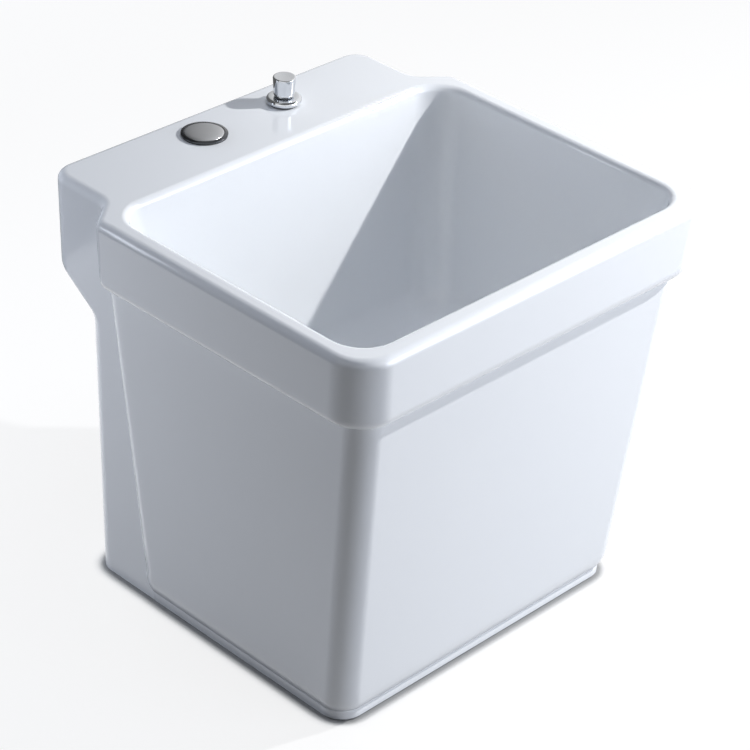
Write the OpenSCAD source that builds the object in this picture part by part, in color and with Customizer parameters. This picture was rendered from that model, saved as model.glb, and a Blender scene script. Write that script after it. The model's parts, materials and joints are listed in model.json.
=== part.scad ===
// Mop service sink: a one-piece glazed ceramic tub on its own hollow pedestal, with a tap deck
// behind the basin. The tap hole is closed by a cover, and a lift knob works the pop-up waste
// through a strap and a ball rod behind the basin.
// Millimetres, +Z up. The origin is on the floor, under the middle of the overall box.

/* [Rim and apron band] */
// Width over the rim
rim_w = 450; // [430:1:480]
// Depth from the front of the rim to the back of the tap deck
depth = 430; // [420:1:460]
// Height of the rim and deck above the floor
height = 415; // [395:1:450]
// Height of the apron band below the rim
band_h = 72; // [60:1:90]
// How far the band leans in from its top to its bottom
band_lean = 5; // [3:0.5:10]
// Plan radius of the rim's front corners
rim_corner_r = 38; // [34:1:55]
// Radius of the rim's outer top edge
rim_edge_r = 9; // [5:0.5:11]
// Radius under the band
lip_r = 12; // [6:0.5:16]

/* [Tap deck] */
// Width of the deck behind the rim's shoulders
deck_w = 389; // [370:1:400]
// Plan radius of the deck's rear corners
deck_corner_r = 22; // [15:1:24]
// Thickness of the deck
deck_t = 14; // [10:1:18]
// Height of the deck's upright back
deck_back_h = 89; // [70:1:100]
// How far the deck overhangs the column behind it
overhang = 44; // [38:1:52]
// Rounding where the deck's back turns under and down
chamfer_r = 16; // [10:1:22]
// Distance from the deck's back to the centre line of its holes
hole_back = 42; // [38:1:46]
// Diameter of the tap hole
tap_hole_d = 35; // [32:1:38]
// Tap hole's offset from the middle
tap_hole_x = -44; // [-70:1:-40]
// Lift knob's offset from the middle
knob_x = 56; // [46:1:70]

/* [Basin] */
// Width of the rim's top beside the basin
rim_side = 21; // [16:1:24]
// Width of the rim's top in front of the basin
rim_front = 22; // [16:1:26]
// Depth of the deck from its back to the basin
deck_depth = 101; // [98:1:108]
// Depth of the basin from the rim down to the waste
basin_depth = 228; // [200:1:236]
// How much lower the waste is than the foot of the walls
floor_fall = 6; // [3:1:12]
// How far the side walls lean in
side_lean = 32; // [26:1:40]
// How far the front and back walls lean in
end_lean = 34; // [24:1:38]
// Plan radius of the basin's corners
basin_r = 32; // [26:1:44]
// Radius of the basin's inner top edge
inner_edge_r = 6; // [3:0.5:8]
// Radius between the walls and the floor
floor_r = 26; // [16:1:30]

/* [Pedestal] */
// How far the tub's side stands in from the band
step_side = 21; // [18:1:26]
// How far the tub's front stands in from the band
step_front = 16; // [13:1:24]
// Width of the foot
foot_w = 362; // [350:1:370]
// How far the foot's front stands behind the rim
foot_back = 48; // [38:1:56]
// Height of the foot plinth
foot_h = 11; // [8:1:16]
// How far the tub's lower edge stands out over the foot
foot_set = 6; // [4:0.5:9]
// Height over which the tub rounds in to the foot
foot_round_h = 27; // [16:1:34]
// Plan radius of the tub's corners
tub_r = 24; // [20:1:32]
// How far the tub's back leans in from top to bottom
tub_back_lean = 29; // [20:1:32]
// Wall of the pedestal and the column
wall = 13; // [10:1:15]
// Width of the service opening at the back
service_w = 230; // [200:1:250]
// Radius of the service opening's upper corners
service_r = 40; // [20:1:60]

/* [Tap hole cover] */
// Diameter of the cover
cover_d = 44; // [42:1:50]
// Height of the cover's rim
cover_rim_h = 1.8; // [1.2:0.1:3]
// Height of its dome above the rim
cover_dome_h = 1.6; // [1:0.1:3]
// Diameter of the cover's stud
stud_d = 8; // [6:1:10]
// Thickness of the rubber rings on the deck
ring_t = 1.5; // [1:0.1:2.5]
// Thickness of the backing washers under the deck
backing_t = 2.5; // [1.5:0.1:4]

/* [Lift knob] */
// Diameter of the knob
knob_d = 22; // [18:0.5:26]
// Height of the knob
knob_h = 20; // [16:0.5:26]
// Diameter of the guide's flange
guide_d = 34; // [32:0.5:40]
// Height of the guide's flange
guide_h = 6; // [4:0.5:9]
// Diameter of the guide's threaded shank
shank_d = 20; // [16:1:22]
// Length of the shank below the deck
shank_drop = 20; // [16:1:30]
// Diameter of the lift rod
lift_rod_d = 6; // [5:0.5:8]
// Travel of the knob
lift_travel = 35; // [25:1:38]

/* [Strap and ball rod] */
// Distance of the ball below the waste's flange
ball_drop = 61; // [57:1:67]
// Diameter of the ball rod
ball_rod_d = 5; // [4:0.5:6]
// Diameter of the ball
ball_d = 12; // [11:0.5:13]
// Distance of the ball from the waste's axis
ball_x = 37; // [35:0.5:40]
// Width of the strap
strap_w = 14; // [12:1:18]
// Thickness of the strap
strap_t = 1.6; // [1.2:0.1:2]
// Pitch of the strap's holes
strap_pitch = 13; // [11:1:15]
// Holes in the strap
strap_holes = 6; // [4:1:7]
// Distance of the strap's lower ear below the rim, knob down
ear_drop = 153; // [149:1:159]
// Play of the ball rod in the strap's holes and in the stopper's eye
rod_play = 0.8; // [0.7:0.1:1.1]

/* [Waste] */
// Distance of the waste from the front of the rim
waste_from_front = 215; // [205:1:225]
// Hole for the waste in the basin's floor
waste_hole_d = 46; // [45:0.5:48]
// Thickness of the basin's floor round the waste
floor_t = 14; // [11:1:18]
// Diameter of the waste's flange
flange_d = 64; // [62:0.5:66]
// Thickness of the flange
flange_t = 2.4; // [1.8:0.1:3]
// Outside diameter of the waste's body
body_d = 42; // [41:0.5:43]
// Bore of the waste
bore_d = 33; // [31:0.5:34]
// Outside diameter of the drain pipe
pipe_d = 32; // [30:0.5:32]
// Wall of the drain pipe
pipe_wall = 2; // [1.5:0.1:3]
// Height of the drain pipe's open end above the floor
pipe_end_z = 6; // [2:1:20]
// Distance of the waste body's lower end below the flange
body_drop = 103; // [99:1:109]
// Thickness of the lock nut
lock_nut_h = 12; // [8:1:13]

/* [Clearances] */
// Radial gap in threads
thread_gap = 0.1; // [0.05:0.01:0.2]
// Gap between pieces that slide on each other
slide_gap = 0.3; // [0.2:0.05:0.4]

/* [Hidden] */
$fn = 64;

// Cut past a face, so that no skin is left on it
past = 1;

// Places along Y and Z
front_y = -depth / 2;
back_y = depth / 2;
hole_y = back_y - hole_back;
column_y = back_y - overhang;
waste_y = front_y + waste_from_front;
basin_back_y = back_y - deck_depth;
band_z = height - band_h;
deck_under_z = height - deck_t;
seat_z = height - basin_depth;
floor_under_z = seat_z - floor_t;
ball_z = seat_z - ball_drop;
body_end_z = seat_z - body_drop;
ear_z = height - ear_drop;

// Points in each arc of an outline
corner_n = 8;
neck_n = 5;
edge_n = 5;

// The shoulder between the rim and the narrower deck: a tight outer bend, a slant and a hollow
shoulder_turn = 52;
shoulder_r = 13;
shoulder_hollow_r = 22;
shoulder_y = basin_back_y - 6;
// The crease between the tub's rear corner and the column
crease_r = 4;
least_step = 0.3;

// ---- Outlines and lofts -------------------------------------------------------------------

function mix(a, b, t) = a + (b - a) * t;
function share(v, v0, v1) = min(max((v - v0) / (v1 - v0), 0), 1);

// Points on an arc about c, without its first point when skip is 1
function arc(c, r, a0, a1, n, skip = 0, stop = 0) = [
    for (i = [skip : n - stop])
        let (a = mix(a0, a1, i / n))
        [c[0] + r * cos(a), c[1] + r * sin(a)]
];

// Right half of a rounded rectangle, from the front to the back
function half_box(x, y0, y1, r) = concat(
    arc([x - r, y0 + r], r, -90, 0, corner_n),
    arc([x - r, y1 - r], r, 0, 90, corner_n)
);

// Right half of the sink's outline. s holds the front part's half width, front and corner
// radius, then the back part's half width, back and corner radius, then the place and radius of
// the bend where the front part ends, and the radius of the hollow behind it.
function half_outline(s) =
    let (
        step = max(s[0] - s[3], least_step),
        x = s[3] + step,
        sum_r = s[7] + s[8],
        turn = min(shoulder_turn, acos(max(1 - step / sum_r, -1))),
        run = (step - sum_r * (1 - cos(turn))) / sin(turn),
        bend = [x - s[7], s[6]],
        hollow = [s[3] + s[8], s[6] + sum_r * sin(turn) + run * cos(turn)],
        bend_end = bend + s[7] * [cos(turn), sin(turn)],
        hollow_start = hollow - s[8] * [cos(turn), sin(turn)]
    )
    concat(
        arc([x - s[2], s[1] + s[2]], s[2], -90, 0, corner_n),
        arc(bend, s[7], 0, turn, neck_n, 0, 1),
        [(bend_end + hollow_start) / 2],
        arc(hollow, s[8], 180 + turn, 180, neck_n, 1),
        arc([s[3] - s[5], s[4] - s[5]], s[5], 0, 90, corner_n)
    );

// A closed ring at height z from its right half
function ring(half, z) = concat(
    [for (p = half) [p[0], p[1], z]],
    [for (i = [len(half) - 1 : -1 : 0]) [-half[i][0], half[i][1], z]]
);

// Solid through rings of equal length, listed upwards
module loft(rings) {
    n = len(rings[0]);
    top = (len(rings) - 1) * n;
    sides = [
        for (j = [0 : len(rings) - 2], i = [0 : n - 1])
            let (a = j * n + i, b = j * n + (i + 1) % n)
            each [[a + n, b + n, b], [a + n, b, a]]
    ];
    caps = [
        for (i = [0 : n / 2 - 2])
            let (m = n - 1 - i)
            each [
                [i, i + 1, m - 1], [i, m - 1, m],
                [top + m, top + m - 1, top + i + 1], [top + m, top + i + 1, top + i]
            ]
    ];
    polyhedron(points = [for (r = rings) each r], faces = concat(sides, caps));
}

// ---- Ceramic body -------------------------------------------------------------------------

// Half width of the deck and column, which lean in towards the foot
function column_x(z) = mix(foot_w / 2, deck_w / 2, z / height);

// The tub's side, front and rear bend at height z
function tub_t(z) = share(z, foot_h + foot_round_h, band_z);
function tub_x(z) = mix(foot_w / 2 + foot_set, rim_w / 2 - step_side, tub_t(z));
function tub_y(z) = front_y + mix(foot_back - foot_set, step_front, tub_t(z));
tub_bend_y = basin_back_y - 3;
function tub_bend(z) = tub_bend_y - tub_back_lean * (1 - tub_t(z));

// The band at height z
function band_in(z) = band_lean * share(height - z, 0, band_h);

// The column's back, which runs out to the deck's back: a bend, a slant and a hollow
back_turn = 54;
back_sum = 2 * chamfer_r;
back_run = (overhang - back_sum * (1 - cos(back_turn))) / sin(back_turn);
deck_back_z = height - deck_back_h;
column_top_z = deck_back_z - back_sum * sin(back_turn) - back_run * cos(back_turn);
back_line = concat(
    [for (p = arc([column_y + chamfer_r, column_top_z], chamfer_r, 180, 180 - back_turn, neck_n))
        [p[1], p[0]]],
    [for (p = arc([back_y - chamfer_r, deck_back_z], chamfer_r, -back_turn, 0, neck_n))
        [p[1], p[0]]]
);

// One ring of the skin: height, 0 on the band to 1 on the tub, inset of the tub towards the
// foot, inset of the whole outline at an edge, and the back's place
function skin(z, t, tuck, edge, back) =
    let (
        side = mix(rim_w / 2 - band_in(z), tub_x(z), t) - tuck - edge,
        front = mix(front_y + band_in(z), tub_y(z), t) + tuck + edge,
        corner = mix(rim_corner_r, tub_r, t) - edge,
        bend_y = mix(shoulder_y, tub_bend(z), t),
        bend_r = mix(shoulder_r, tub_r, t) - edge,
        hollow_r = mix(shoulder_hollow_r, crease_r, t) + edge
    )
    ring(half_outline([
        side, front, corner, column_x(z) - edge, back - edge, deck_corner_r - edge,
        bend_y, bend_r, hollow_r
    ]), z);

foot_edge_r = 2;
groove = 1.2;
lip_drop = 2;
lip_top_z = band_z + lip_r;

module skin() {
    loft([
        skin(0, 1, foot_set, foot_edge_r, column_y),
        skin(foot_edge_r, 1, foot_set, 0, column_y),
        skin(foot_h - 3, 1, foot_set, 0, column_y),
        skin(foot_h - 1, 1, foot_set + groove, 0, column_y),
        for (i = [0 : edge_n])
            let (a = 90 * i / edge_n)
            skin(foot_h + foot_round_h * (1 - cos(a)), 1, (foot_set + groove) * (1 - sin(a)),
                0, column_y),
        for (p = back_line) skin(p[0], 1, 0, 0, p[1]),
        skin(band_z - lip_drop, 1, 0, 0, back_y),
        for (i = [0 : edge_n])
            let (a = 90 * i / edge_n)
            skin(lip_top_z - lip_r * cos(a), lip_r / step_side * (1 - sin(a)), 0, 0, back_y),
        for (i = [0 : edge_n])
            let (a = 90 * i / edge_n)
            skin(height - rim_edge_r * (1 - sin(a)), 0, 0, rim_edge_r * (1 - cos(a)), back_y)
    ]);
}

// One ring of the basin at height z, grown outwards by edge
basin_foot_z = seat_z + floor_fall;
function basin(z, edge, shrink = 0) =
    let (t = share(height - z, 0, height - basin_foot_z))
    ring(half_box(
        rim_w / 2 - rim_side - side_lean * t + edge - shrink,
        front_y + rim_front + end_lean * t - edge + shrink,
        basin_back_y - end_lean * t + edge - shrink,
        max(basin_r + edge - shrink, 8)
    ), z);

sump_x = flange_d / 2 + 4;
sump_r = sump_x - 6;
module basin() {
    loft([
        ring([for (p = half_box(sump_x, waste_y - sump_x, waste_y + sump_x, sump_r)) p], seat_z),
        for (i = [0 : edge_n])
            let (a = 90 * i / edge_n)
            basin(basin_foot_z + floor_r * (1 - cos(a)), 0, floor_r * (1 - sin(a))),
        for (i = [0 : edge_n])
            let (a = 90 * i / edge_n)
            basin(height - inner_edge_r * (1 - sin(a)), inner_edge_r * (1 - cos(a))),
        basin(height + past, inner_edge_r)
    ]);
}

// Hollow of the pedestal, open to the floor
roof_r = 20;
function hollow(z, edge) =
    ring(half_box(
        tub_x(max(z, 0)) - foot_set * (1 - share(z, 0, foot_round_h + foot_h)) - wall - edge,
        tub_y(max(z, 0)) + foot_set * (1 - share(z, 0, foot_round_h + foot_h)) + wall + edge,
        column_y - wall - deck_corner_r,
        tub_r
    ), z);

module hollow() {
    loft([
        hollow(-past, 0),
        hollow(foot_h + foot_round_h, 0),
        for (i = [0 : edge_n])
            let (a = 90 * i / edge_n)
            hollow(floor_under_z - roof_r * (1 - sin(a)), roof_r * (1 - cos(a)))
    ]);
}

// Hollow of the column and of the deck, behind the basin
column_hollow_x = foot_w / 2 - wall - 4;
module column_hollow() {
    profile = concat(
        [[column_y - wall, -past]],
        [for (p = back_line) [p[1] - wall, p[0] + wall / 2]],
        [
            [back_y - wall, deck_under_z],
            [basin_back_y + wall, deck_under_z],
            [basin_back_y + wall - end_lean, basin_foot_z],
            [basin_back_y + wall - end_lean - 4, floor_under_z - roof_r],
            [basin_back_y + wall - end_lean - 4, -past]
        ]
    );
    translate([column_hollow_x, 0, 0])
        rotate([90, 0, -90])
            linear_extrude(2 * column_hollow_x)
                mirror([1, 0]) polygon(profile);
}

// Service opening through the column's back
service_z = deck_back_z - 13;
module service_opening() {
    translate([0, back_y + past, 0])
        rotate([90, 0, 0])
            linear_extrude(overhang + 2 * wall) {
                translate([-service_w / 2, -past]) square([service_w, service_z - service_r + past]);
                translate([-service_w / 2 + service_r, -past])
                    square([service_w - 2 * service_r, service_z + past]);
                for (side = [-1, 1])
                    translate([side * (service_w / 2 - service_r), service_z - service_r])
                        circle(service_r);
            }
}

// A round hole through the deck
module deck_hole(x, d) {
    translate([x, hole_y, deck_under_z - past]) cylinder(h = deck_t + 2 * past, d = d);
}

guide_hole_d = shank_d + 4;
module sink_body() {
    color("white")
        difference() {
            skin();
            basin();
            hollow();
            column_hollow();
            service_opening();
            deck_hole(tap_hole_x, tap_hole_d);
            deck_hole(knob_x, guide_hole_d);
            translate([0, waste_y, floor_under_z - past])
                cylinder(h = floor_t + 2 * past, d = waste_hole_d);
            translate([0, waste_y, seat_z - recess_h]) cylinder(h = recess_h + past, d = recess_d);
        }
}

// ---- Tap hole cover -----------------------------------------------------------------------

// A flat ring from its lower face
module washer(d, bore, t) {
    difference() {
        cylinder(h = t, d = d);
        translate([0, 0, -past]) cylinder(h = t + 2 * past, d = bore);
    }
}

// A shallow dome of diameter d and height h, from its base
module dome(d, h) {
    r = (d * d / 4 + h * h) / (2 * h);
    rotate_extrude()
        intersection() {
            translate([0, h - r]) circle(r, $fn = 200);
            square([d / 2, h]);
        }
}

cover_z = height + ring_t;
backing_d = tap_hole_d + 11;
stud_drop = deck_t + backing_t + 16;

// The cover has a raised ring, a fine groove and a shallow dome inside it
cover_ring_w = 3;
cover_groove = 0.6;
stud_grip = cover_rim_h;
module tap_hole_cover() {
    r = cover_d / 2;
    color("silver")
        translate([tap_hole_x, hole_y, cover_z])
            difference() {
                union() {
                    rotate_extrude()
                        polygon([
                            [0, 0], [r, 0], [r, cover_rim_h - 1], [r - 1, cover_rim_h],
                            [r - cover_ring_w, cover_rim_h],
                            [r - cover_ring_w - cover_groove, cover_rim_h - cover_groove],
                            [0, cover_rim_h - cover_groove]
                        ]);
                    translate([0, 0, cover_rim_h - cover_groove])
                        dome(cover_d - 2 * (cover_ring_w + cover_groove), cover_dome_h);
                }
                translate([0, 0, -past])
                    cylinder(h = stud_grip + past, d = stud_d + 2 * thread_gap);
            }
}

module cover_gasket() {
    color("dimgray")
        translate([tap_hole_x, hole_y, height])
            washer(cover_d - 1, tap_hole_d - 6, ring_t);
}

module cover_stud() {
    color("silver")
        translate([tap_hole_x, hole_y, height - stud_drop])
            cylinder(h = stud_drop + ring_t + stud_grip, d = stud_d);
}

module cover_washer() {
    color("gainsboro")
        translate([tap_hole_x, hole_y, deck_under_z - backing_t])
            washer(backing_d, stud_d + 2 * thread_gap, backing_t);
}

wing_nut_h = 7;
module cover_wing_nut() {
    wing_l = 15;
    color("silver")
        translate([tap_hole_x, hole_y, deck_under_z - backing_t - wing_nut_h])
            difference() {
                union() {
                    cylinder(h = wing_nut_h, d = stud_d + 8);
                    for (side = [0, 180])
                        rotate([90, 0, side])
                            translate([0, 0, -1.2])
                                linear_extrude(2.4)
                                    polygon([
                                        [stud_d / 2 + 2, wing_nut_h - 0.6], [stud_d / 2 + 2, 1],
                                        [wing_l, -5], [wing_l + 4, -3], [wing_l + 3, 1]
                                    ]);
                }
                translate([0, 0, -past])
                    cylinder(h = wing_nut_h + 2 * past, d = stud_d + 2 * thread_gap);
            }
}

// ---- Lift knob and its guide --------------------------------------------------------------

guide_z = height + ring_t;
guide_top_z = guide_z + guide_h;
knob_z = guide_top_z + slide_gap;

module knob_guide() {
    color("silver")
        translate([knob_x, hole_y, 0])
            difference() {
                union() {
                    translate([0, 0, guide_z])
                        rotate_extrude()
                            polygon(concat(
                                [[0, 0]],
                                arc([(guide_d - guide_h) / 2, guide_h / 2], guide_h / 2, -90, 90,
                                    2 * corner_n),
                                [[0, guide_h]]
                            ));
                    translate([0, 0, deck_under_z - shank_drop])
                        cylinder(h = guide_z - deck_under_z + shank_drop, d = shank_d);
                }
                translate([0, 0, deck_under_z - shank_drop - past])
                    cylinder(h = 2 * height, d = lift_rod_d + 2 * slide_gap);
            }
}

module guide_gasket() {
    color("dimgray")
        translate([knob_x, hole_y, height]) washer(guide_d - guide_h, shank_d + 2 * thread_gap, ring_t);
}

module guide_washer() {
    color("gainsboro")
        translate([knob_x, hole_y, deck_under_z - backing_t])
            washer(guide_hole_d + 10, shank_d + 2 * thread_gap, backing_t);
}

guide_nut_h = 8;
module guide_nut() {
    color("goldenrod")
        translate([knob_x, hole_y, deck_under_z - backing_t - guide_nut_h])
            difference() {
                cylinder(h = guide_nut_h, d = shank_d + 11, $fn = 6);
                translate([0, 0, -past])
                    cylinder(h = guide_nut_h + 2 * past, d = shank_d + 2 * thread_gap);
            }
}

rod_grip = 12;
module lift_knob() {
    r = knob_d / 2;
    color("silver")
        translate([knob_x, hole_y, knob_z])
            difference() {
                rotate_extrude()
                    polygon([
                        [0, 0], [r - 3.4, 0], [r - 2.5, 0.5], [r - 1.5, 1.6], [r - 0.9, 3.2],
                        [r - 0.7, 5], [r, knob_h - 1.4], [r - 0.15, knob_h - 0.7],
                        [r - 0.55, knob_h - 0.2], [r - 1.3, knob_h], [0, knob_h]
                    ]);
                translate([0, 0, -past]) cylinder(h = rod_grip + past, d = lift_rod_d + 2 * thread_gap);
            }
}

rod_tail = 10;
module lift_rod() {
    z0 = ear_z - rod_tail;
    color("silver")
        translate([knob_x, hole_y, z0]) cylinder(h = knob_z + rod_grip - z0, d = lift_rod_d);
}

// ---- Strap, ball rod and clip -------------------------------------------------------------

// The linkage lies in the upright plane through the waste's axis and the lift rod. Its pieces
// are drawn in that plane, with X from the waste to the lift rod, and turned into place.
link_run = norm([knob_x, hole_y - waste_y]);
link_turn = atan2(hole_y - waste_y, knob_x);
module in_link_plane() {
    translate([0, waste_y, 0]) rotate([0, 0, link_turn]) children();
}

strap_x = link_run + lift_rod_d / 2 + 1;
lever = strap_x + strap_t / 2 - ball_x;
ball_tilt = atan(lift_travel / 2 / lever);
hole_z = ball_z - lift_travel / 2;
ear_rise = 16;
ear_reach = lift_rod_d + 5;
strap_top_z = ear_z + ear_rise + strap_t;
holes_below = 2;
strap_foot_z = hole_z - holes_below * strap_pitch - 8;
strap_hole_d = ball_rod_d + 2 * rod_play;
screw_d = 4;

module lift_strap() {
    color("lightsteelblue")
        in_link_plane()
            difference() {
                union() {
                    translate([strap_x, -strap_w / 2, strap_foot_z])
                        cube([strap_t, strap_w, strap_top_z - strap_foot_z]);
                    for (z = [ear_z, ear_z + ear_rise])
                        translate([strap_x - ear_reach, -strap_w / 2, z])
                            cube([ear_reach, strap_w, strap_t]);
                }
                translate([link_run, 0, ear_z - past])
                    cylinder(h = ear_rise + strap_t + 2 * past, d = lift_rod_d + 2 * thread_gap);
                for (i = [-holes_below : strap_holes - holes_below - 1])
                    translate([strap_x - past, 0, hole_z + i * strap_pitch])
                        rotate([0, 90, 0]) cylinder(h = strap_t + 2 * past, d = strap_hole_d);
                translate([strap_x - past, 0, ear_z + (ear_rise + strap_t) / 2])
                    rotate([0, 90, 0])
                        cylinder(h = strap_t + 2 * past, d = screw_d + 2 * thread_gap);
            }
}

module strap_screw() {
    color("silver")
        in_link_plane()
            translate([link_run + lift_rod_d / 2, 0, ear_z + (ear_rise + strap_t) / 2])
                rotate([0, 90, 0]) {
                    cylinder(h = strap_x + strap_t - link_run - lift_rod_d / 2, d = screw_d);
                    translate([0, 0, strap_x + strap_t - link_run - lift_rod_d / 2])
                        cylinder(h = 6, d = 12);
                }
}

// Pieces on the ball rod are drawn level, from the ball outwards, and tilted about the ball
module on_ball_rod() {
    in_link_plane() translate([ball_x, 0, ball_z]) rotate([0, ball_tilt, 0]) children();
}

rod_beyond = 14;
inner_beyond = 4;
module ball_rod() {
    color("silver")
        on_ball_rod() {
            rotate([0, 90, 0]) sphere(d = ball_d);
            translate([-ball_x - inner_beyond, 0, 0])
                rotate([0, 90, 0])
                    cylinder(h = ball_x + inner_beyond + lever / cos(ball_tilt) + rod_beyond,
                        d = ball_rod_d);
        }
}

clip_t = 0.8;
clip_gap = 9;
clip_w = 9;
clip_h = 12;
module spring_clip() {
    mid = lever / cos(ball_tilt);
    color("lightsteelblue")
        on_ball_rod()
            translate([mid, 0, 0])
                difference() {
                    union() {
                        for (side = [-1, 1])
                            translate([side * (clip_gap + clip_t) / 2 - clip_t / 2, -clip_w / 2,
                                -ball_rod_d / 2 - 3])
                                cube([clip_t, clip_w, clip_h]);
                        translate([-clip_gap / 2 - clip_t, strap_w / 2 + 1,
                            -ball_rod_d / 2 - 3])
                            cube([clip_gap + 2 * clip_t, clip_t, clip_h]);
                        for (side = [-1, 1])
                            translate([side * (clip_gap + clip_t) / 2 - clip_t / 2, 0,
                                -ball_rod_d / 2 - 3])
                                cube([clip_t, strap_w / 2 + 1 + clip_t, clip_h]);
                    }
                    translate([-clip_gap, 0, 0])
                        rotate([0, 90, 0])
                            cylinder(h = 2 * clip_gap, d = ball_rod_d + 2 * thread_gap);
                }
}

// ---- Ball socket --------------------------------------------------------------------------

socket_d = 24;
socket_bore_d = ball_d + 4;
seat_bore_r = 4.5;
seat_reach = sqrt(pow(ball_d / 2 + slide_gap, 2) - pow(seat_bore_r, 2));
socket_floor_x = ball_x - seat_reach - 4;
socket_end_x = ball_x + seat_reach + 3;

// The two seat rings that hold the ball, one on each side of it
module ball_seats() {
    color("white")
        in_link_plane()
            for (x = [socket_floor_x, ball_x + seat_reach])
                translate([x, 0, ball_z])
                    rotate([0, 90, 0])
                        washer(socket_bore_d - 2 * thread_gap, 2 * seat_bore_r,
                            x > ball_x ? 3 : 4);
}

nut_cap_t = 3;
nut_wrap = 11;
module ball_nut() {
    color("silver")
        in_link_plane()
            translate([socket_end_x - nut_wrap, 0, ball_z])
                rotate([0, 90, 0])
                    difference() {
                        cylinder(h = nut_wrap + nut_cap_t, d = socket_d + 7, $fn = 6);
                        translate([0, 0, -past])
                            cylinder(h = nut_wrap + past, d = socket_d + 2 * thread_gap);
                        cylinder(h = nut_wrap + nut_cap_t + past, r = seat_bore_r);
                    }
}

// ---- Waste --------------------------------------------------------------------------------

module on_waste(z) {
    translate([0, waste_y, z]) children();
}

recess_h = flange_t + ring_t;
recess_d = flange_d + 2;
flange_under_z = seat_z - flange_t;
flange_shank_d = bore_d + 4;
flange_shank_l = 26;
seat_cone_d = bore_d + 5;
seat_cone_h = 4;
body_top_z = flange_under_z - ring_t - 1.5;
body_step_z = flange_under_z - flange_shank_l - 1;

module waste_flange() {
    color("silver")
        on_waste(0)
            rotate_extrude()
                polygon([
                    [seat_cone_d / 2, seat_z], [flange_d / 2 - 1.2, seat_z],
                    [flange_d / 2, seat_z - 1], [flange_d / 2, flange_under_z],
                    [flange_shank_d / 2, flange_under_z],
                    [flange_shank_d / 2, flange_under_z - flange_shank_l],
                    [bore_d / 2, flange_under_z - flange_shank_l],
                    [bore_d / 2, seat_z - seat_cone_h]
                ]);
}

module flange_gasket() {
    color("dimgray")
        on_waste(flange_under_z - ring_t)
            washer(flange_d - 2, flange_shank_d + 2 * thread_gap, ring_t);
}

module waste_body() {
    r = body_d / 2;
    color("lightgray")
        difference() {
            union() {
                on_waste(body_end_z) cylinder(h = body_top_z - body_end_z, r = r);
                in_link_plane()
                    translate([0, 0, ball_z])
                        rotate([0, 90, 0]) cylinder(h = socket_end_x, d = socket_d);
            }
            on_waste(body_end_z - past)
                cylinder(h = body_top_z - body_end_z + 2 * past, d = bore_d);
            on_waste(body_step_z)
                cylinder(h = body_top_z - body_step_z + past,
                    d = flange_shank_d + 2 * thread_gap);
            in_link_plane()
                translate([0, 0, ball_z]) rotate([0, 90, 0]) cylinder(h = ball_x, d = ball_d);
            in_link_plane()
                translate([socket_floor_x, 0, ball_z])
                    rotate([0, 90, 0]) cylinder(h = 2 * ball_x, d = socket_bore_d);
        }
}

gasket_h = 8;
module body_gasket() {
    r = body_d / 2 + thread_gap;
    color("dimgray")
        on_waste(floor_under_z - gasket_h)
            rotate_extrude()
                polygon([[r, 0], [r + 11, 0], [r + 11, 3], [r + 6, gasket_h], [r, gasket_h]]);
}

friction_t = 2;
module friction_washer() {
    color("white")
        on_waste(floor_under_z - gasket_h - friction_t)
            washer(body_d + 22, body_d + 2 * thread_gap, friction_t);
}

module lock_nut() {
    color("lightgray")
        on_waste(floor_under_z - gasket_h - friction_t - lock_nut_h)
            difference() {
                union() {
                    cylinder(h = lock_nut_h, d = body_d + 14);
                    for (i = [0 : 5])
                        rotate([0, 0, 60 * i])
                            translate([body_d / 2 + 4, -3, 0]) cube([6, 6, lock_nut_h]);
                }
                translate([0, 0, -past])
                    cylinder(h = lock_nut_h + 2 * past, d = body_d + 2 * thread_gap);
            }
}

// ---- Stopper ------------------------------------------------------------------------------

// The stopper is drawn open, held up by the ball rod's inner arm
arm_rise = ball_x * tan(ball_tilt);
stopper_drop = 2 * arm_rise;
cap_d = bore_d + 12;
cap_z = seat_z + stopper_drop + 0.8;
seal_d = bore_d + 1.8;
seal_t = 3;
fin_d = bore_d - 2;
eye_w = 12;
eye_t = 5;

module stopper() {
    eye_z = ball_z + arm_rise;
    color("silver")
        on_waste(0) {
            translate([0, 0, cap_z]) cylinder(h = 1.6, d = cap_d);
            translate([0, 0, cap_z + 1.6]) dome(cap_d, 2.6);
            translate([0, 0, cap_z - seal_t]) cylinder(h = seal_t, d = seal_d - 8);
            translate([0, 0, cap_z - seal_t - 1.5]) cylinder(h = 1.5, d = fin_d);
            rotate([0, 0, link_turn]) {
                translate([0, 0, eye_z + 9]) cylinder(h = cap_z - seal_t - eye_z - 9, d = 8);
                for (a = [0, 90])
                    rotate([0, 0, a + 45])
                        translate([-fin_d / 2 + 0.4, -0.8, eye_z + 16])
                            cube([fin_d - 0.8, 1.6, cap_z - seal_t - eye_z - 16]);
                difference() {
                    translate([-eye_t / 2, -eye_w / 2, eye_z - 7]) cube([eye_t, eye_w, 18]);
                    translate([-eye_t, 0, eye_z])
                        rotate([0, 90, 0]) cylinder(h = 2 * eye_t, d = ball_rod_d + 2 * rod_play);
                }
            }
        }
}

module stopper_seal() {
    color("dimgray")
        on_waste(cap_z - seal_t)
            washer(seal_d, seal_d - 8 + 2 * thread_gap, seal_t);
}

// ---- Drain pipe ---------------------------------------------------------------------------

pipe_grip = 22;
slip_cap_t = 3;
slip_wrap = 16;
slip_ring_h = 6;

module slip_nut() {
    color("lightgray")
        on_waste(body_end_z - slip_ring_h - slip_cap_t)
            difference() {
                cylinder(h = slip_wrap + slip_ring_h + slip_cap_t, d = body_d + 8, $fn = 8);
                translate([0, 0, slip_cap_t])
                    cylinder(h = slip_wrap + slip_ring_h + past, d = body_d + 2 * thread_gap);
                translate([0, 0, -past])
                    cylinder(h = slip_cap_t + 2 * past, d = pipe_d + 2 * slide_gap);
            }
}

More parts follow.
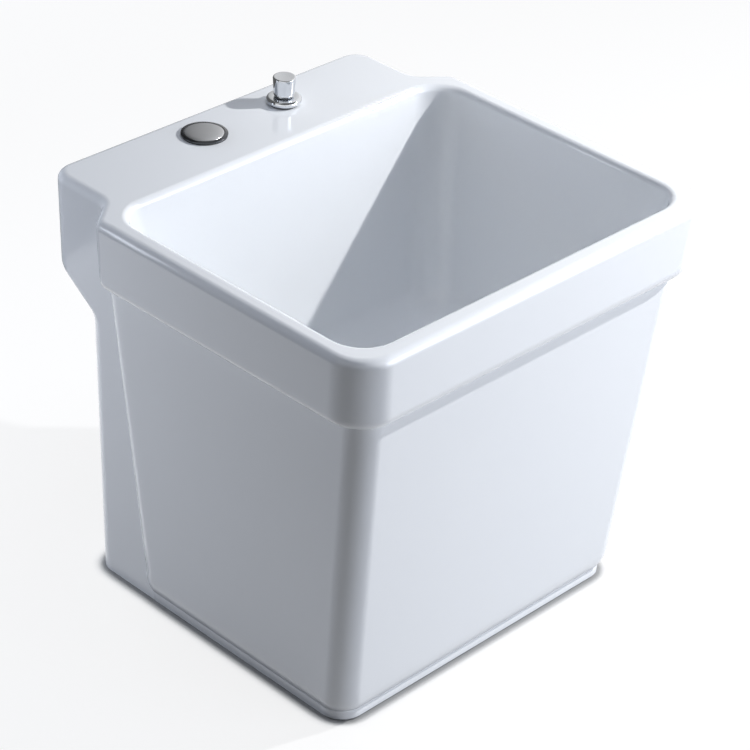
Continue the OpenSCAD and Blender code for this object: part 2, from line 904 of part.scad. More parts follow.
module slip_washer() {
    r = pipe_d / 2 + thread_gap;
    color("dimgray")
        on_waste(body_end_z - slip_ring_h)
            rotate_extrude()
                polygon([
                    [r, 0], [body_d / 2 - 1, 0], [body_d / 2 - 1, slip_ring_h], [r, slip_ring_h]
                ]);
}

// The pipe has a rolled bead, with a fine groove on each side of it, that keeps the nut on
bead_r = 1.6;
bead_groove = 0.4;
bead_half_l = 3;
bead_z = body_end_z - slip_ring_h - slip_cap_t - bead_half_l - 1;
module drain_pipe() {
    r = pipe_d / 2;
    top_z = body_end_z + pipe_grip;
    color("lightgray")
        on_waste(0)
            rotate_extrude()
                polygon(concat(
                    [
                        [r - pipe_wall, pipe_end_z], [r, pipe_end_z], [r, bead_z - bead_half_l],
                        [r - bead_groove, bead_z - bead_half_l + bead_groove]
                    ],
                    arc([r - bead_groove, bead_z], bead_r, -90, 90, edge_n),
                    [
                        [r - bead_groove, bead_z + bead_half_l - bead_groove],
                        [r, bead_z + bead_half_l], [r, top_z], [r - pipe_wall, top_z]
                    ]
                ));
}

sink_body();
tap_hole_cover();
cover_gasket();
cover_stud();
cover_washer();
cover_wing_nut();
knob_guide();
guide_gasket();
guide_washer();
guide_nut();
lift_knob();
lift_rod();
lift_strap();
strap_screw();
spring_clip();
ball_rod();
ball_seats();
ball_nut();
waste_flange();
flange_gasket();
waste_body();
body_gasket();
friction_washer();
lock_nut();
stopper();
stopper_seal();
slip_nut();
slip_washer();
drain_pipe();
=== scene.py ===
import json
import logging
import math
from collections.abc import Callable
from dataclasses import dataclass, field
from enum import Enum
from typing import Any

import bmesh
import bpy
from mathutils import Matrix, Vector


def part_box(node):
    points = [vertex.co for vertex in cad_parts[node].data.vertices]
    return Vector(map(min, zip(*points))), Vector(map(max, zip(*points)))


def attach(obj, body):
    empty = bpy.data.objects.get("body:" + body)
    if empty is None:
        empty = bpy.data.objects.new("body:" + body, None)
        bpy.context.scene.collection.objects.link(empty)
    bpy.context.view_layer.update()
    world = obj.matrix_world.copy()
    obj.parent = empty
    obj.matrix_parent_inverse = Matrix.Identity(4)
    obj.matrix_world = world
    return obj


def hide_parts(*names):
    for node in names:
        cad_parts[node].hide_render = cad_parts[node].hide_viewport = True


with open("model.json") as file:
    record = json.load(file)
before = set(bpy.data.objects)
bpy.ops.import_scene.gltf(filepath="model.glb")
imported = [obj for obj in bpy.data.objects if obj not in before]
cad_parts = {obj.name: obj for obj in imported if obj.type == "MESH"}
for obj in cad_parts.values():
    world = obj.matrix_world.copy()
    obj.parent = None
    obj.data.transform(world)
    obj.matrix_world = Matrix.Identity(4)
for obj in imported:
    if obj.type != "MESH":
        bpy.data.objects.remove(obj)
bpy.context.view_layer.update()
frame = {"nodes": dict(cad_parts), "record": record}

logging.basicConfig(level=logging.INFO, format="%(message)s")
LOG = logging.getLogger("mop_sink")

MM = 0.001
WHITE = (1.0, 1.0, 1.0)

# Points closer than this are one, in a CAD node's loose triangles and in a turned piece.
SAME_IN_CAD = 0.00001
SAME_IN_TURNED = 0.000001

# A thread's depth, its crest's two edges and the start of its root, as shares of its pitch.
THREAD_DEPTH = 0.45
THREAD_CREST = (0.42, 0.55)
THREAD_ROOT = 0.95

# How far large faces pull the shading of their edges, from 1 to 100.
FLATTENING = 60

Colour = tuple[float, float, float]
Place = tuple[float, float, float]
Pair = tuple[float, float]
Profile = list[Pair]


class Slot(Enum):
    """Material slots of the part."""

    GLAZE = "glaze"
    CHROME = "chrome"
    RUBBER = "rubber"
    STEEL = "steel"
    BRASS = "brass"
    NYLON = "nylon"
    WASTE_PLASTIC = "waste_plastic"


class Body(Enum):
    """Rigid bodies that the pieces ride on."""

    SINK = "sink"
    LIFT = "lift"
    PIVOT = "pivot"
    STOPPER = "stopper"


class ShaderKind(Enum):
    """What a shader is for: the list in the file's data that holds it, and its output's type."""

    MATERIAL = ("materials", "ShaderNodeOutputMaterial")
    WORLD = ("worlds", "ShaderNodeOutputWorld")


class Keep(Enum):
    """What a cutting tool leaves of a piece."""

    OUTSIDE = "DIFFERENCE"
    INSIDE = "INTERSECT"


class Element(Enum):
    """What a selection in a mesh is made of."""

    VERTS = "VERT"
    EDGES = "EDGE"


# ---- Shader writing --------------------------------------------------------------------------


class Value:
    """One value in a shader: arithmetic on it adds Math nodes."""

    def __init__(self, shader: "Shader", socket: Any) -> None:
        """Keep the socket that gives the value.

        Args:
            shader: The shader that the socket belongs to.
            socket: An output socket.
        """
        self.shader = shader
        self.socket = socket

    def _math(self, operation: str, first: Any, second: Any) -> "Value":
        """Add one Math node.

        Args:
            operation: The Math node's operation.
            first: The first operand, a Value or a number.
            second: The second operand, a Value or a number.

        Returns:
            The node's result.
        """
        return self.shader.node("ShaderNodeMath", {"operation": operation}, [first, second])

    def __add__(self, other: Any) -> "Value":
        """Return the sum."""
        return self._math("ADD", self, other)

    def __radd__(self, other: Any) -> "Value":
        """Return the sum with a number on the left."""
        return self._math("ADD", other, self)

    def __sub__(self, other: Any) -> "Value":
        """Return the difference."""
        return self._math("SUBTRACT", self, other)

    def __rsub__(self, other: Any) -> "Value":
        """Return the difference from a number on the left."""
        return self._math("SUBTRACT", other, self)

    def __mul__(self, other: Any) -> "Value":
        """Return the product."""
        return self._math("MULTIPLY", self, other)

    def __rmul__(self, other: Any) -> "Value":
        """Return the product with a number on the left."""
        return self._math("MULTIPLY", other, self)


class Shader:
    """A material or a world under construction, with one method that adds any node."""

    # A Mix node's sockets for colours, which have the same names as those for numbers.
    SHARE, LOW, HIGH, MIXED = 0, 6, 7, 2

    def __init__(self, name: str, kind: ShaderKind = ShaderKind.MATERIAL) -> None:
        """Start with no nodes.

        Args:
            name: The name of the material or the world.
            kind: Which of the two it is.
        """
        holder, self.output = kind.value
        self.made = getattr(bpy.data, holder).new(name)
        self.made.use_nodes = True
        self.tree = self.made.node_tree
        self.tree.nodes.clear()

    def node(self, kind: str, settings: dict[str, Any] | None = None,
             inputs: dict[Any, Any] | list[Any] | None = None, output: int | str = 0) -> Value:
        """Add a node.

        Args:
            kind: The node's type.
            settings: Properties that are set on it before its sockets.
            inputs: Values or numbers for its sockets, by name or number, or in order.
            output: The output socket to return.

        Returns:
            The output as a Value.
        """
        made = self.tree.nodes.new(kind)
        for key, setting in (settings or {}).items():
            setattr(made, key, setting)
        pairs = inputs.items() if isinstance(inputs, dict) else enumerate(inputs or [])
        for key, given in pairs:
            socket = made.inputs[key]
            if isinstance(given, Value):
                self.tree.links.new(given.socket, socket)
            else:
                socket.default_value = given
        return Value(self, made.outputs[output])

    def place(self, axis: str | None = None) -> Value:
        """Return the surface's place in metres, or one coordinate of it.

        Args:
            axis: "X", "Y" or "Z", or nothing for the whole vector.

        Returns:
            The place or the coordinate.
        """
        whole = self.node("ShaderNodeTexCoord", output="Object")
        if axis is None:
            return whole
        return self.node("ShaderNodeSeparateXYZ", inputs=[whole], output=axis)

    def noise(self, size: float, detail: float, stretch: Place = (1.0, 1.0, 1.0)) -> Value:
        """Return smooth noise between 0 and 1.

        Args:
            size: The size of one patch in metres.
            detail: Octaves of the noise.
            stretch: Scale of the pattern along each axis.

        Returns:
            The noise.
        """
        placed = self.node("ShaderNodeMapping", inputs={"Vector": self.place(), "Scale": stretch})
        return self.node("ShaderNodeTexNoise", inputs={
            "Vector": placed, "Scale": 1.0 / size, "Detail": detail})

    def ramp(self, value: Value, ends: Pair, levels: Pair = (0.0, 1.0)) -> Value:
        """Return a value that rises smoothly from one level to another.

        Args:
            value: What it rises with.
            ends: Where it starts to rise and where it is up.
            levels: How low and how high it is.

        Returns:
            The rising value.
        """
        return self.node("ShaderNodeMapRange", {"interpolation_type": "SMOOTHSTEP"}, {
            "Value": value, "From Min": ends[0], "From Max": ends[1],
            "To Min": levels[0], "To Max": levels[1]})

    def blend(self, share: Value, low: Colour, high: Colour) -> Value:
        """Mix two colours.

        Args:
            share: 0 for the first colour and 1 for the second.
            low: The first colour.
            high: The second colour.

        Returns:
            The mixed colour.
        """
        inputs = {self.SHARE: share, self.LOW: (*low, 1.0), self.HIGH: (*high, 1.0)}
        return self.node("ShaderNodeMix", {"data_type": "RGBA"}, inputs, self.MIXED)

    def bump(self, height: Value, depth: float) -> Value:
        """Return the normal of a relief, from its height between 0 and 1 and its depth."""
        return self.node("ShaderNodeBump", inputs={"Height": height, "Distance": depth})

    def seen_directly(self) -> Value:
        """Tell the camera's own rays, and their mirrored and refracted paths, from the others.

        Returns:
            1 for them and 0 for the others.
        """
        unseen = [1.0 - self.node("ShaderNodeLightPath", output=ray)
                  for ray in ("Is Camera Ray", "Is Glossy Ray", "Is Transmission Ray")]
        return 1.0 - math.prod(unseen)

    def show(self, surface: Value) -> None:
        """Add the output, and link a surface or a background to it."""
        end = self.tree.nodes.new(self.output)
        self.tree.links.new(surface.socket, end.inputs["Surface"])

    def finish(self, **sockets: Any) -> bpy.types.Material:
        """Add the surface and the output.

        Args:
            **sockets: The Principled shader's sockets, with underscores for spaces.

        Returns:
            The finished material.
        """
        inputs = {key.replace("_", " "): given for key, given in sockets.items()}
        self.show(self.node("ShaderNodeBsdfPrincipled", inputs=inputs))
        return self.made


# ---- Finishes --------------------------------------------------------------------------------


@dataclass(frozen=True)
class Glaze:
    """Thick white glaze over fireclay, with slight pools and ripples.

    Attributes:
        colour: Its colour where it is thin.
        pooled: Its colour where it has pooled.
        pooling: How much of the pooled colour shows.
        roughness: How far from a mirror it is.
        haze: How much its roughness varies.
        pool: Size of a pool in metres.
        wave: Size of a ripple.
        pit: Size of a fine pit.
        relief: Depth of the ripples and pits together.
        wave_share: The ripples' share of that depth.
        pit_share: The pits' share.
        coat: Weight of its clear coat.
        coat_roughness: Roughness of the coat.
        ior: Its index of refraction.
    """

    colour: Colour = (0.855, 0.872, 0.892)
    pooled: Colour = (0.82, 0.842, 0.868)
    pooling: float = 0.6
    roughness: float = 0.09
    haze: float = 0.05
    pool: float = 0.16
    wave: float = 0.045
    pit: float = 0.006
    relief: float = 0.00012
    wave_share: float = 0.85
    pit_share: float = 0.06
    coat: float = 0.35
    coat_roughness: float = 0.04
    ior: float = 1.5

    def build(self) -> bpy.types.Material:
        """Build the glaze.

        Returns:
            The material.
        """
        shader = Shader("white_glaze")
        pools = shader.noise(self.pool, 3.0)
        pits = shader.noise(self.pit, 2.0)
        waves = shader.noise(self.wave, 1.0)
        height = waves * self.wave_share + pits * self.pit_share
        return shader.finish(
            Base_Color=shader.blend(pools * self.pooling, self.colour, self.pooled),
            Roughness=self.roughness + pools * self.haze,
            Normal=shader.bump(height, self.relief),
            Coat_Weight=self.coat, Coat_Roughness=self.coat_roughness, IOR=self.ior)


@dataclass(frozen=True)
class Bisque:
    """Bare fired clay on the hidden walls.

    Attributes:
        colour: The clay's colour.
        dusty: Its colour where it is dusty.
        roughness: Its least roughness.
        grit: How much the grains add to that.
        patch: Size of a dusty patch in metres.
        grain: Size of a grain.
        relief: Height of the grains.
    """

    colour: Colour = (0.62, 0.58, 0.52)
    dusty: Colour = (0.70, 0.67, 0.62)
    roughness: float = 0.78
    grit: float = 0.14
    patch: float = 0.05
    grain: float = 0.0012
    relief: float = 0.00025

    def build(self) -> bpy.types.Material:
        """Build the clay.

        Returns:
            The material.
        """
        shader = Shader("bare_fireclay")
        patches = shader.noise(self.patch, 4.0)
        grains = shader.noise(self.grain, 3.0)
        return shader.finish(
            Base_Color=shader.blend(patches, self.colour, self.dusty),
            Roughness=self.roughness + grains * self.grit,
            Normal=shader.bump(grains, self.relief))


@dataclass(frozen=True)
class Metal:
    """A bare or plated metal.

    Attributes:
        name: The material's name.
        colour: The metal's own colour.
        roughness: How far from a mirror it is.
        smear: How much the roughness varies.
        brushed: Depth of the brushing in metres.
        tarnish: How dark it can be, as a share of its colour.
        tarnished: How much of that shows.
        patch: Size of a smear in metres.
        line: Width of a brushed line.
        stretch: Scale of the brushing along each axis.
    """

    name: str
    colour: Colour
    roughness: float
    smear: float
    brushed: float = 0.0
    tarnish: float = 0.88
    tarnished: float = 0.5
    patch: float = 0.012
    line: float = 0.0009
    stretch: Place = (1.0, 1.0, 0.06)

    def build(self) -> bpy.types.Material:
        """Build the metal.

        Returns:
            The material.
        """
        shader = Shader(self.name)
        patches = shader.noise(self.patch, 3.0)
        lines = shader.noise(self.line, 2.0, self.stretch)
        darker: Colour = tuple(part * self.tarnish for part in self.colour)
        return shader.finish(
            Base_Color=shader.blend(patches * self.tarnished, self.colour, darker),
            Metallic=1.0,
            Roughness=self.roughness + patches * self.smear,
            Normal=shader.bump(lines, self.brushed))


@dataclass(frozen=True)
class Moulded:
    """A moulded plastic or rubber.

    Attributes:
        name: The material's name.
        colour: Its colour.
        roughness: Its least roughness.
        relief: Depth of its grain in metres.
        fade: How dark it can be, as a share of its colour.
        bloom: How much grey it gains there.
        wear: How much the roughness varies.
        patch: Size of a worn patch in metres.
        grain: Size of its grain.
    """

    name: str
    colour: Colour
    roughness: float
    relief: float
    fade: float = 0.85
    bloom: float = 0.02
    wear: float = 0.1
    patch: float = 0.009
    grain: float = 0.0007

    def build(self) -> bpy.types.Material:
        """Build the plastic or rubber.

        Returns:
            The material.
        """
        shader = Shader(self.name)
        patches = shader.noise(self.patch, 3.0)
        grains = shader.noise(self.grain, 2.0)
        worn: Colour = tuple(part * self.fade + self.bloom for part in self.colour)
        return shader.finish(
            Base_Color=shader.blend(patches, self.colour, worn),
            Roughness=self.roughness + patches * self.wear,
            Normal=shader.bump(grains, self.relief))


class Finishes:
    """The part's materials, made once."""

    def __init__(self) -> None:
        """Build every finish."""
        self.bisque = Bisque().build()
        self.satin = Metal("satin_chrome", (0.60, 0.61, 0.63), roughness=0.26, smear=0.08,
                           brushed=0.00001).build()
        # Chrome darkened nearly to black: a painted dark reflection on the tap-hole cover's slope.
        self.painted_dark_reflection = Metal("smoked_chrome", (0.10, 0.105, 0.115), roughness=0.16,
                            smear=0.06).build()
        looks: dict[Slot, Glaze | Metal | Moulded] = {
            Slot.GLAZE: Glaze(),
            Slot.CHROME: Metal("polished_chrome", (0.74, 0.76, 0.79), roughness=0.07, smear=0.06),
            Slot.STEEL: Metal("drawn_steel", (0.58, 0.59, 0.60), roughness=0.28, smear=0.14,
                              brushed=0.00002),
            Slot.BRASS: Metal("turned_brass", (0.66, 0.49, 0.22), roughness=0.24, smear=0.12,
                              brushed=0.00002),
            Slot.RUBBER: Moulded("black_rubber", (0.035, 0.035, 0.036), roughness=0.62,
                                 relief=0.00004),
            Slot.NYLON: Moulded("white_nylon", (0.74, 0.74, 0.71), roughness=0.42,
                                relief=0.00002),
            Slot.WASTE_PLASTIC: Moulded("grey_plastic", (0.55, 0.56, 0.57), roughness=0.36,
                                        relief=0.00003)}
        self.by_slot = {slot: look.build() for slot, look in looks.items()}


# ---- Modelling helpers -----------------------------------------------------------------------


def select_only(piece: bpy.types.Object) -> None:
    """Select a piece alone, and make it the active one.

    Args:
        piece: The piece.
    """
    bpy.ops.object.select_all(action="DESELECT")
    piece.select_set(True)
    bpy.context.view_layer.objects.active = piece


def dress(piece: bpy.types.Object, *finishes: bpy.types.Material) -> None:
    """Give a piece its materials.

    Args:
        piece: The piece.
        *finishes: The materials, the first of them all over.
    """
    piece.data.materials.clear()
    for finish in finishes:
        piece.data.materials.append(finish)


def merged_copy(node: str, name: str, flat_degrees: float = 0.5) -> bpy.types.Object:
    """Copy a CAD node's mesh with its loose triangles joined and its flat faces whole.

    Args:
        node: The node.
        name: The copy's name.
        flat_degrees: The greatest bend between triangles that become one face.

    Returns:
        The copy.
    """
    mesh = frame["nodes"][node].data.copy()
    piece = bpy.data.objects.new(name, mesh)
    bpy.context.scene.collection.objects.link(piece)
    select_only(piece)
    bpy.ops.object.mode_set(mode="EDIT")
    bpy.ops.mesh.select_all(action="SELECT")
    bpy.ops.mesh.remove_doubles(threshold=SAME_IN_CAD)
    bpy.ops.mesh.dissolve_limited(angle_limit=math.radians(flat_degrees))
    bpy.ops.object.mode_set(mode="OBJECT")
    return piece


def smooth(piece: bpy.types.Object, degrees: float) -> None:
    """Smooth a piece except over edges sharper than an angle.

    Args:
        piece: The piece.
        degrees: The angle.
    """
    select_only(piece)
    bpy.ops.object.shade_smooth_by_angle(angle=math.radians(degrees))


def apply_modifier(piece: bpy.types.Object, kind: str, **settings: Any) -> None:
    """Add a modifier and apply it.

    Args:
        piece: The piece.
        kind: The modifier's type.
        **settings: Its properties.
    """
    select_only(piece)
    modifier = piece.modifiers.new(kind.lower(), kind)
    for key, setting in settings.items():
        setattr(modifier, key, setting)
    bpy.ops.object.modifier_apply(modifier=modifier.name)


def shade(piece: bpy.types.Object, degrees: float) -> None:
    """Smooth a piece, and keep its flat faces flat up to their rounded edges.

    Args:
        piece: The piece.
        degrees: Edges sharper than this stay sharp.
    """
    smooth(piece, degrees)
    apply_modifier(piece, "WEIGHTED_NORMAL", mode="FACE_AREA", weight=FLATTENING, keep_sharp=True)


def soften(piece: bpy.types.Object, width: float, segments: int = 3,
           degrees: float = 35.0) -> None:
    """Round a piece's sharp edges and shade it.

    Args:
        piece: The piece.
        width: The rounding's width in metres.
        segments: Faces across the rounding.
        degrees: The least angle of an edge that is rounded.
    """
    apply_modifier(piece, "BEVEL", width=width, segments=segments, limit_method="ANGLE",
                   angle_limit=math.radians(degrees), use_clamp_overlap=True)
    shade(piece, degrees)


def cut(piece: bpy.types.Object, tool: bpy.types.Object, keep: Keep) -> None:
    """Cut a piece with a tool, and take the tool away.

    Args:
        piece: The piece.
        tool: The tool.
        keep: What is left of the piece.
    """
    apply_modifier(piece, "BOOLEAN", object=tool, operation=keep.value, solver="EXACT")
    select_only(tool)
    bpy.ops.object.delete()


def select_where(piece: bpy.types.Object, kind: Element, test: Callable[[Any], bool]) -> None:
    """Select a mesh's vertices or edges by a test.

    Args:
        piece: The piece, in edit mode.
        kind: Vertices or edges.
        test: Returns true for what is to be selected.
    """
    bpy.ops.mesh.select_all(action="DESELECT")
    bpy.ops.mesh.select_mode(type=kind.value)
    mesh = bmesh.from_edit_mesh(piece.data)
    for part in getattr(mesh, kind.name.lower()):
        part.select_set(test(part))
    bmesh.update_edit_mesh(piece.data)


def rounding(middle: Pair, radius: float, start: float, end: float, steps: int) -> Profile:
    """Return the points of an arc in a profile.

    Args:
        middle: The arc's middle, as radius and height.
        radius: The arc's radius.
        start: Its first angle in degrees, from the outward direction.
        end: Its last angle.
        steps: Straight pieces in it.

    Returns:
        The points.
    """
    angles = [math.radians(start + (end - start) * i / steps) for i in range(steps + 1)]
    return [(middle[0] + radius * math.cos(a), middle[1] + radius * math.sin(a)) for a in angles]


def thread(radius: float, bottom: float, top: float, pitch: float) -> Profile:
    """Return the profile of a thread's crests and roots.

    Args:
        radius: The radius over the crests.
        bottom: Where the thread starts.
        top: Where it ends.
        pitch: The distance from crest to crest.

    Returns:
        The points, upwards.
    """
    root = radius - THREAD_DEPTH * pitch
    points: Profile = [(root, bottom)]
    for turn in range(int((top - bottom) / pitch)):
        foot = bottom + turn * pitch
        points += [(radius, foot + share * pitch) for share in THREAD_CREST]
        points.append((root, foot + THREAD_ROOT * pitch))
    return points


@dataclass(frozen=True)
class Lathe:
    """Turns a round piece, ring by ring, and seats it.

    Attributes:
        segments: Faces round the piece.
    """

    segments: int = 96

    def turn(self, name: str, profile: Profile, at: Place, bored: bool = False) -> bpy.types.Object:
        """Turn a piece with an upright axis.

        Args:
            name: Its name.
            profile: Radius and height of each ring, from the foot.
            at: The foot of its axis.
            bored: Whether the profile is a closed loop round a bore.

        Returns:
            The piece, with its place in its mesh.
        """
        bpy.ops.object.select_all(action="DESELECT")
        radius, height = profile[0]
        bpy.ops.mesh.primitive_circle_add(
            vertices=self.segments, radius=radius, location=(at[0], at[1], at[2] + height),
            fill_type="NOTHING" if bored else "NGON")
        piece = bpy.context.object
        piece.name = name
        bpy.ops.object.transform_apply(location=True, rotation=True, scale=True)
        bpy.ops.object.mode_set(mode="EDIT")
        bpy.ops.mesh.select_all(action="SELECT")
        rings = profile[1:] + ([profile[0]] if bored else [])
        for ring in rings:
            bpy.ops.mesh.extrude_region_move(
                TRANSFORM_OT_translate={"value": (0.0, 0.0, ring[1] - height)})
            bpy.ops.transform.resize(value=(ring[0] / radius, ring[0] / radius, 1.0),
                                     center_override=(at[0], at[1], at[2] + ring[1]))
            radius, height = ring
        bpy.ops.mesh.select_all(action="SELECT")
        bpy.ops.mesh.remove_doubles(threshold=SAME_IN_TURNED)
        bpy.ops.mesh.normals_make_consistent(inside=False)
        bpy.ops.object.mode_set(mode="OBJECT")
        return piece


@dataclass(frozen=True)
class Seat:
    """Where a node of the frame lies.

    Attributes:
        low: Its lowest corner.
        high: Its highest corner.
    """

    low: Vector
    high: Vector

    @classmethod
    def of(cls, node: str) -> "Seat":
        """Return a node's seat."""
        low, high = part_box(node)
        return cls(Vector(low), Vector(high))

    @property
    def axis_foot(self) -> Place:
        """Return the foot of its upright middle line."""
        middle = (self.low + self.high) / 2
        return (middle.x, middle.y, self.low.z)

    @property
    def radius(self) -> float:
        """Return half its width."""
        return (self.high.x - self.low.x) / 2

    @property
    def height(self) -> float:
        """Return its height."""
        return self.high.z - self.low.z


class Maker:
    """Puts finished pieces in their nodes' places, for every sub-assembly."""

    def __init__(self, finishes: Finishes) -> None:
        """Keep the finishes, and each node's slot and body.

        Args:
            finishes: The part's finishes.
        """
        self.finishes = finishes
        record = frame["record"]
        self.slots = {row["node"]: Slot(row["material_slot"]) for row in record["subparts"]}
        self.bodies = {node: Body(body) for body, nodes in record["behaviour"]["bodies"].items()
                       for node in nodes}

    def put(self, piece: bpy.types.Object, node: str, *finishes: bpy.types.Material) -> None:
        """Dress a piece and put it in a node's place.

        Args:
            piece: The piece.
            node: The node that it stands for.
            *finishes: Its materials. With none, it gets that of the node's slot.
        """
        slot = self.slots[node]
        dress(piece, *(finishes or (self.finishes.by_slot[slot],)))
        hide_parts(node)
        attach(piece, self.bodies[node].value)
        LOG.info("%s: %d faces", piece.name, len(piece.data.polygons))

    def turn(self, node: str, name: str, profile: Profile, smooth_under: float,
             segments: int = 96, bored: bool = False) -> bpy.types.Object:
        """Turn a piece round a node's axis, smooth it and put it in the node's place.

        Args:
            node: The node.
            name: The piece's name.
            profile: Radius and height of each ring, from the foot.
            smooth_under: Edges duller than this are smoothed, in degrees.
            segments: Faces round the piece.
            bored: Whether the profile is a closed loop round a bore.

        Returns:
            The piece.
        """
        piece = Lathe(segments).turn(name, profile, Seat.of(node).axis_foot, bored)
        smooth(piece, smooth_under)
        self.put(piece, node)
        return piece


# ---- Sub-assemblies --------------------------------------------------------------------------


@dataclass
class Assembly:
    """A sub-assembly of the part.

    Attributes:
        maker: Puts its pieces in place.
    """

    maker: Maker

    def build(self) -> None:
        """Build its pieces."""
        raise NotImplementedError


@dataclass
class CeramicBody(Assembly):
    """The one-piece casting: basin, rim, deck, apron band, tub, column and foot.

    Attributes:
        smooth_under: Edges duller than this are smoothed, in degrees.
        underside: Faces lower than this are the foot's underside.
        tub_y: The middle of the hollow in the tub and the foot.
        level: Faces that look less than this towards that middle are not its walls.
        roof_z: The top of that hollow, under the basin.
        slope_z: How low the slopes of its roof come.
        roof_x: Half the roof's width.
        roof_y: The roof's front and back.
        downward: How far a face of the roof looks down.
        column_x: Half the width of the hollow behind the basin.
        wall_foot: The middle of the basin's back wall, at its foot.
        wall_lean: How far that wall runs back for each metre up.
        column_back: Where the column's outer face starts.
        backward: How far a face of it looks back.
        column_middle: A point inside that hollow.
    """

    smooth_under: float = 38.0
    underside: float = 0.001
    tub_y: float = -0.02
    level: float = 0.0001
    roof_z: float = 0.176
    slope_z: float = 0.1
    roof_x: float = 0.165
    roof_y: Pair = (-0.16, 0.15)
    downward: float = 0.5
    column_x: float = 0.167
    wall_foot: float = 0.085
    wall_lean: float = 0.149
    column_back: float = 0.17
    backward: float = 0.3
    column_middle: Place = (0.0, 0.128, 0.25)

    def build(self) -> None:
        """Build the body, glazed where it shows and bare inside its hollows."""
        piece = merged_copy("sink_body", "glazed_body", flat_degrees=0.3)
        shade(piece, self.smooth_under)
        finishes = self.maker.finishes
        self.maker.put(piece, "sink_body", finishes.by_slot[Slot.GLAZE], finishes.bisque)
        for face in piece.data.polygons:
            face.material_index = int(self.is_bare(face.center, face.normal))

    def is_bare(self, centre: Vector, normal: Vector) -> bool:
        """Tell whether a face is unglazed: the foot's underside and the walls of the hollows.

        Args:
            centre: The face's middle.
            normal: Its outward direction.

        Returns:
            True for bare clay.
        """
        if centre.z < self.underside:
            return True
        if centre.z < self.roof_z:
            outward = centre.x * normal.x + (centre.y - self.tub_y) * normal.y
            roof = (centre.z > self.slope_z and normal.z < -self.downward
                    and abs(centre.x) < self.roof_x and self.roof_y[0] < centre.y < self.roof_y[1])
            return outward < -self.level or roof
        wall = self.wall_foot + self.wall_lean * (centre.z - self.roof_z)
        behind = abs(centre.x) < self.column_x and centre.y > wall
        outside = centre.y > self.column_back and normal.y > self.backward
        inward = (centre - Vector(self.column_middle)).dot(normal) < 0.0
        return behind and inward and not outside


@dataclass
class TapHoleCover(Assembly):
    """The cap over the spare tap hole, a slope in chrome darkened as a painted dark reflection
    round a satin dome, and its stud.

    Attributes:
        hub: Radius of the flat in the middle of the cap's underside.
        foot_r: Rounding of the cap's foot.
        lip_r: Rounding of the lip at the foot of the slope.
        lip_h: Height of that rounding's middle.
        slope_w: Width of the slope.
        brow_r: Rounding at the top of the slope.
        rise: How far the dome stands above the slope.
        groove_w: Width of the groove round the dome.
        groove_d: Depth of the groove.
        dome_steps: Rings in the dome.
        crown: Radius of the flat on top of the dome.
        upward: How far a face of the dome looks up.
        stud_hub: Radius of the flat at the stud's ends.
        point: How far the stud's end is turned down.
        thread_z: Where its thread starts.
        neck_l: Length of the plain neck above the thread.
        neck_d: How far the neck is turned down.
        pitch: The thread's pitch.
    """

    hub: float = 0.5 * MM
    foot_r: float = 0.3 * MM
    lip_r: float = 0.35 * MM
    lip_h: float = 0.7 * MM
    slope_w: float = 3.4 * MM
    brow_r: float = 0.4 * MM
    rise: float = 1.2 * MM
    groove_w: float = 0.35 * MM
    groove_d: float = 0.25 * MM
    dome_steps: int = 14
    crown: float = 0.4 * MM
    upward: float = 0.5
    stud_hub: float = 0.3 * MM
    point: float = 1.0 * MM
    thread_z: float = 0.8 * MM
    neck_l: float = 4.0 * MM
    neck_d: float = 0.6 * MM
    pitch: float = 1.25 * MM

    def build(self) -> None:
        """Build the cap and its threaded stud."""
        self.build_cap()
        self.build_stud()

    def build_cap(self) -> None:
        """Turn the cap, and give its dome the satin finish."""
        seat = Seat.of("tap_hole_cover")
        r, h = seat.radius, seat.height
        slope_r = r - self.slope_w
        dome_r = slope_r - self.groove_w
        shoulder = h - self.rise
        groove = shoulder - self.groove_d
        profile: Profile = [(self.hub, 0.0), (r - self.foot_r, 0.0)]
        profile += rounding((r - self.foot_r, self.foot_r), self.foot_r, -90, 0, 3)
        profile += rounding((r - self.lip_r, self.lip_h), self.lip_r, 0, 55, 4)
        profile += rounding((slope_r + self.brow_r, shoulder - self.brow_r), self.brow_r,
                            60, 110, 4)
        profile += [(slope_r, groove), (dome_r, groove)]
        turns = [math.radians(90 * i / self.dome_steps) for i in range(1, self.dome_steps)]
        profile += [(dome_r * math.cos(a), groove + (h - groove) * math.sin(a)) for a in turns]
        profile.append((self.crown, h))
        cap = self.maker.turn("tap_hole_cover", "tap_hole_cap", profile, smooth_under=40)
        # The slope's near-black chrome is a painted dark reflection, and the dome is satin chrome.
        dress(cap, self.maker.finishes.painted_dark_reflection, self.maker.finishes.satin)
        middle = Vector(seat.axis_foot)
        for face in cap.data.polygons:
            inside = (face.center - middle).xy.length < dome_r
            face.material_index = int(inside and face.normal.z > self.upward)

    def build_stud(self) -> None:
        """Turn the stud under the cap."""
        seat = Seat.of("cover_stud")
        r, h = seat.radius, seat.height
        profile: Profile = [(self.stud_hub, 0.0), (r - self.point, 0.0)]
        profile += thread(r, self.thread_z, h - self.neck_l, self.pitch)
        profile += [(r - self.neck_d, h), (self.stud_hub, h)]
        self.maker.turn("cover_stud", "cover_thread", profile, smooth_under=30, segments=40)


